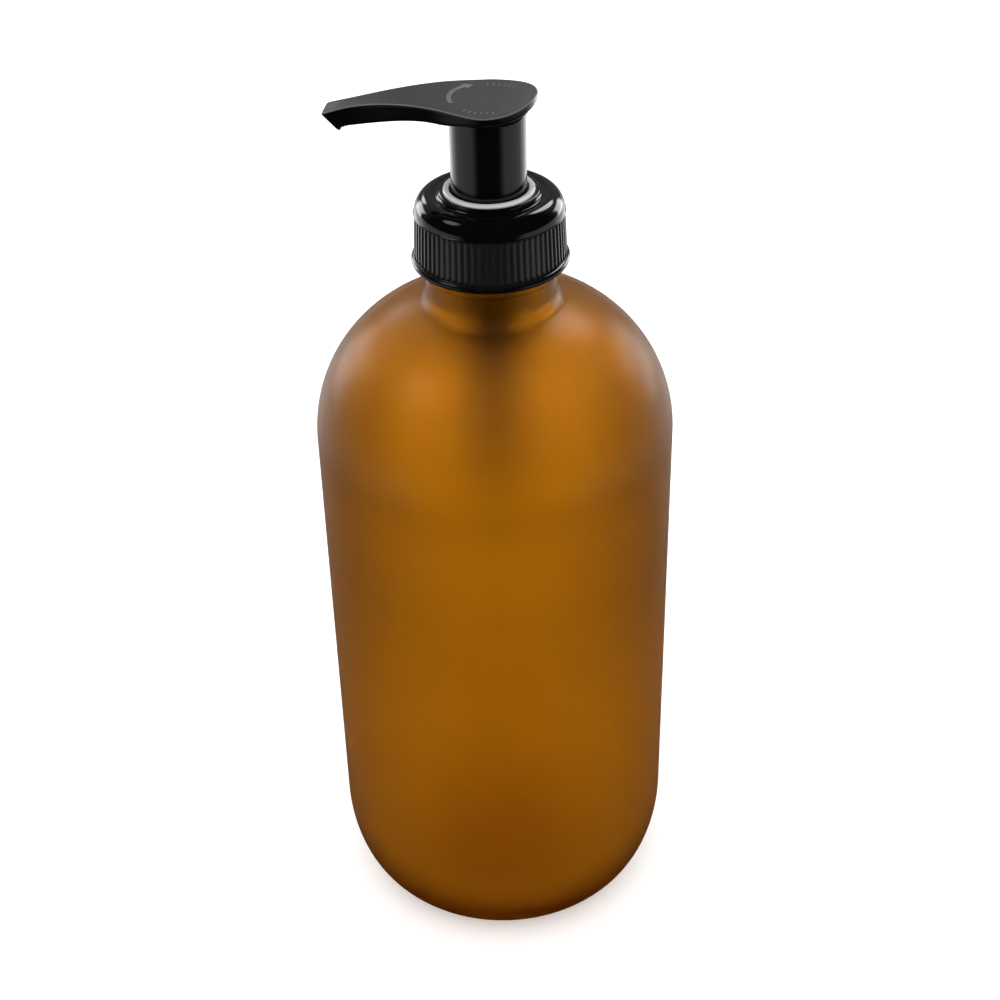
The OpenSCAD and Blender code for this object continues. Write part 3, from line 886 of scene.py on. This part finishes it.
def sleeve_piece():
    """sleeve with the stem socket inside it, and lugs round both ends of the Y axis"""
    outer, inside, lug, socket_bore, socket = 7.43, 6.2, 5.42, 4.06, 5.2     # radii
    profile = (arc(outer - 0.3, SLEEVE_LO + 0.3, 0.3, 0.3, -90, 0, 6)
               + densify([(outer, SLEEVE_LO + 0.6), (outer, PAD_Z - 3.6)], 1.5)
               + arc(outer + 1.0, PAD_Z - 3.0, 1.0, 1.0, 180, 118, 6)
               + [(outer + 0.4, PAD_Z - 1.35), (socket, PAD_Z - 1.2), (4.4, PAD_Z - 1.2),
                  (socket_bore, PAD_Z - 1.3), (socket_bore, 184.7), (4.3, 184.5),
                  (5.0, 184.5), (socket, 184.7), (socket, 187.9), (5.4, 188.3),
                  (5.9, 188.3), (inside, 188.0)]
               + densify([(inside, 187.4), (inside, 171.0)], 1.0)
               + [(inside, 169.75), (inside, 169.6), (inside, 169.4),
                  (inside, SLEEVE_LO + 0.4), (inside + 0.25, SLEEVE_LO)])

    def shape(radii, heights, theta, _):
        if abs(radii[0] - inside) < 0.01 and 169.5 < heights[0] < 187.9:
            radii = np.where(degrees_off_x(theta - math.pi / 2) < 30.0, lug, radii)
        return radii, heights

    return lathe("sleeve_tmp", profile, 240, shape, sharp=40)


def bore_piece():
    """the way out: a bore that drops with the spout and opens on the slanted tip"""
    radius, sides = 0.95, 24
    path = np.array(densify([(0.5, PAD_Z - 2.4), (9.0, PAD_Z - 1.0), (18.0, PAD_Z - 1.6),
                             (REACH + 1.5, PAD_Z - 4.55)], 1.0))
    for _ in range(4):
        path[1:-1] = (path[:-2] + path[1:-1] * 2 + path[2:]) / 4
    verts = []
    for i, (along, z) in enumerate(path):
        heading = path[min(i + 1, len(path) - 1)] - path[max(i - 1, 0)]
        heading = heading / np.linalg.norm(heading)
        for k in range(sides):
            a = 2 * math.pi * k / sides
            verts.append((-(along - heading[1] * radius * math.sin(a)) * MM,
                          radius * math.cos(a) * MM,
                          (z + heading[0] * radius * math.sin(a)) * MM))
    faces = tube_sides(len(path), sides) + tube_ends(len(path), sides)
    return new_object("bore_tmp", verts, faces, 40)


def head_piece():
    piece = boolean(pad_piece(), sleeve_piece(), "UNION")
    piece = boolean(piece, bore_piece(), "DIFFERENCE")
    # short chamber on the axis, where the bore starts
    low, high, radius = PAD_Z - 4.2, PAD_Z - 1.9, 1.6
    chamber = lathe("way_tmp", [(0, low), (radius, low), (radius, high), (0, high)], 48,
                    ends_on_axis=True)
    piece = boolean(piece, chamber, "DIFFERENCE")
    tidy(piece, sharp=32, merge=0.00001)
    piece.data.materials.clear()
    piece.data.materials.append(HEAD_BLACK)
    piece.data.materials.append(MARKS_PAINTED_HIGHLIGHT)
    marks = raised_marks()
    tidy(marks, sharp=30, merge=0.000001)
    marks.data.polygons.foreach_set("material_index", [1] * len(marks.data.polygons))
    edit = bmesh.new()
    edit.from_mesh(piece.data)
    edit.from_mesh(marks.data)
    edit.to_mesh(piece.data)
    edit.free()
    bpy.data.objects.remove(marks)
    return piece


head = head_piece()
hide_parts("actuator_head")
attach(head, "head")

# ------------------------------------------------------------------ CAD nodes that keep their shape
for name, material in (("pump_housing", HOUSING), ("neck_gasket", FOAM), ("dip_tube", TUBE),
                       ("inlet_check_ball", BALL), ("piston_seat", NATURAL),
                       ("piston", PISTON), ("stem", NATURAL)):
    kept_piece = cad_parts[name]
    kept_piece.data.materials.clear()
    kept_piece.data.materials.append(material)

# ------------------------------------------------------------------ floor
FLOOR_HALF = 4.0
floor_mesh = bpy.data.meshes.new("floor")
floor_mesh.from_pydata([(x * FLOOR_HALF, y * FLOOR_HALF, 0)
                        for x, y in ((-1, -1), (1, -1), (1, 1), (-1, 1))], [], [(0, 1, 2, 3)])
floor = bpy.data.objects.new("floor", floor_mesh)
bpy.context.scene.collection.objects.link(floor)
floor_mesh.materials.append(studio_floor())
floor.location.z = cad_lo[2] - 0.00005
floor.visible_glossy = False

# ------------------------------------------------------------------ camera
# it stands on the -Y side, turned a little towards +X, and looks down at the bottle
CAMERA_TURN = math.radians(8.0)
CAMERA_DISTANCE, CAMERA_HEIGHT = 0.321602, 0.321739
TILT, ROLL = 0.603, 0.025             # radians

camera_data = bpy.data.cameras.new("camera")
camera = bpy.data.objects.new("camera", camera_data)
bpy.context.scene.collection.objects.link(camera)
forward = Vector((-math.sin(CAMERA_TURN) * math.cos(TILT),
                  math.cos(CAMERA_TURN) * math.cos(TILT), -math.sin(TILT)))
level_right = Vector((math.cos(CAMERA_TURN), math.sin(CAMERA_TURN), 0))
level_down = forward.cross(level_right)
right = level_right * math.cos(ROLL) + level_down * math.sin(ROLL)
down = level_down * math.cos(ROLL) - level_right * math.sin(ROLL)
pose = Matrix((right, -down, -forward)).transposed().to_4x4()
pose.translation = Vector((CAMERA_DISTANCE * math.sin(CAMERA_TURN),
                           -CAMERA_DISTANCE * math.cos(CAMERA_TURN), CAMERA_HEIGHT))
camera.matrix_world = pose
camera_data.sensor_width = 36.0
camera_data.lens = 64.538253
camera_data.shift_x, camera_data.shift_y = 0.00324, -0.00162
camera_data.clip_start, camera_data.clip_end = 0.01, 50
bpy.context.scene.camera = camera

# ------------------------------------------------------------------ light
# soft boxes seen in reflections: (direction, half angle and soft edge in degrees, brightness)
SOFT_BOXES = [((-0.42, 0.83, 0.37), 5, 3, 5.0), ((0.41, 0.65, 0.64), 10, 3, 6.5),
              ((-0.25, 0.61, 0.76), 4, 2, 6.0), ((-0.67, -0.11, 0.75), 8, 4, 2.2)]


def studio_world():
    """White studio, painted on the world.

    The camera sees plain white, and diffuse and transmitted rays soft light, stronger overhead.
    Glossy rays see a dark room with two windows and a dim wall behind the bottle, soft boxes,
    and dim strips below the horizon.
    """
    world = bpy.data.worlds.new("studio")
    bpy.context.scene.world = world
    world.use_nodes = True
    sky = Nodes(world.node_tree)
    output = sky.add("OutputWorld")
    background = sky.add("Background", {"Color": (1.0, 1.0, 1.0)})
    sky.fill(output, {0: background.outputs[0]})
    # turned so that the camera stands at -Y
    direction = sky.add("Mapping", {"Rotation": (0, 0, -CAMERA_TURN),
                                    "Vector": sky.add("TexCoord").outputs["Generated"]},
                        vector_type="POINT").outputs[0]
    x, y, z = sky.split(direction)

    def band(value, rise, fall):
        return sky.times(sky.remap(value, between=rise), sky.remap(value, between=fall[::-1]))

    def soft_box(towards, size, soft, gain):
        dot = sky.add("VectorMath", {0: direction, 1: Vector(towards).normalized()},
                      operation="DOT_PRODUCT").outputs["Value"]
        edge = math.cos(math.radians(size + soft)), math.cos(math.radians(size))
        return sky.remap(dot, between=edge, to=(0.0, gain))

    window_gain, wall_gain, room = 5.0, 0.20, 0.004
    behind = sky.remap(y, between=(0.2, 0.4))
    left_window = sky.times(band(x, rise=(-0.86, -0.80), fall=(-0.58, -0.50)),
                            band(z, rise=(-0.16, -0.08), fall=(0.26, 0.36)),
                            behind, window_gain)
    right_window = sky.times(band(x, rise=(0.52, 0.60), fall=(0.82, 0.88)),
                             band(z, rise=(-0.20, -0.12), fall=(0.24, 0.34)),
                             behind, window_gain)
    boxes = sky.plus(*[soft_box(*box) for box in SOFT_BOXES])
    wall = sky.times(sky.remap(y, between=(0.15, 0.6)),
                     band(z, rise=(-0.02, 0.14), fall=(0.62, 0.80)), wall_gain)
    low = band(z, rise=(-0.62, -0.40), fall=(-0.12, 0.0))
    near_gain, wide_gain, narrow_gain = 0.62, 0.85, 0.6
    near = sky.times(sky.remap(y, between=(-0.80, -0.55)), near_gain)
    wide = sky.times(band(y, rise=(0.25, 0.60), fall=(0.82, 0.93)), wide_gain)
    narrow = sky.times(band(y, rise=(0.58, 0.76), fall=(0.82, 0.93)), narrow_gain)
    strips = sky.times(low, sky.plus(near, wide, narrow))
    glossy = sky.plus(left_window, right_window, boxes, wall, strips, room)

    base_light = 0.95
    plain = sky.plus(sky.remap(z, between=(0.2, 0.95), to=(0.0, 0.6)), base_light)
    rays = sky.add("LightPath").outputs
    is_camera, is_glossy = rays["Is Camera Ray"], rays["Is Glossy Ray"]
    light = sky.plus(sky.times(is_glossy, glossy), sky.times(sky.minus(1.0, is_glossy), plain))
    strength = sky.plus(is_camera, sky.times(sky.minus(1.0, is_camera), light))
    sky.fill(background, {"Strength": strength})
    world.cycles.sampling_method = "MANUAL"
    world.cycles.sample_map_resolution = 512


studio_world()

# ------------------------------------------------------------------ render settings
scene = bpy.context.scene
scene.view_settings.view_transform = "Standard"
scene.view_settings.look = "None"
scene.view_settings.exposure = 0.0
scene.cycles.max_bounces = 16
scene.cycles.transmission_bounces = 12
scene.cycles.glossy_bounces = 5
scene.cycles.diffuse_bounces = 4
scene.cycles.sample_clamp_indirect = 6.0
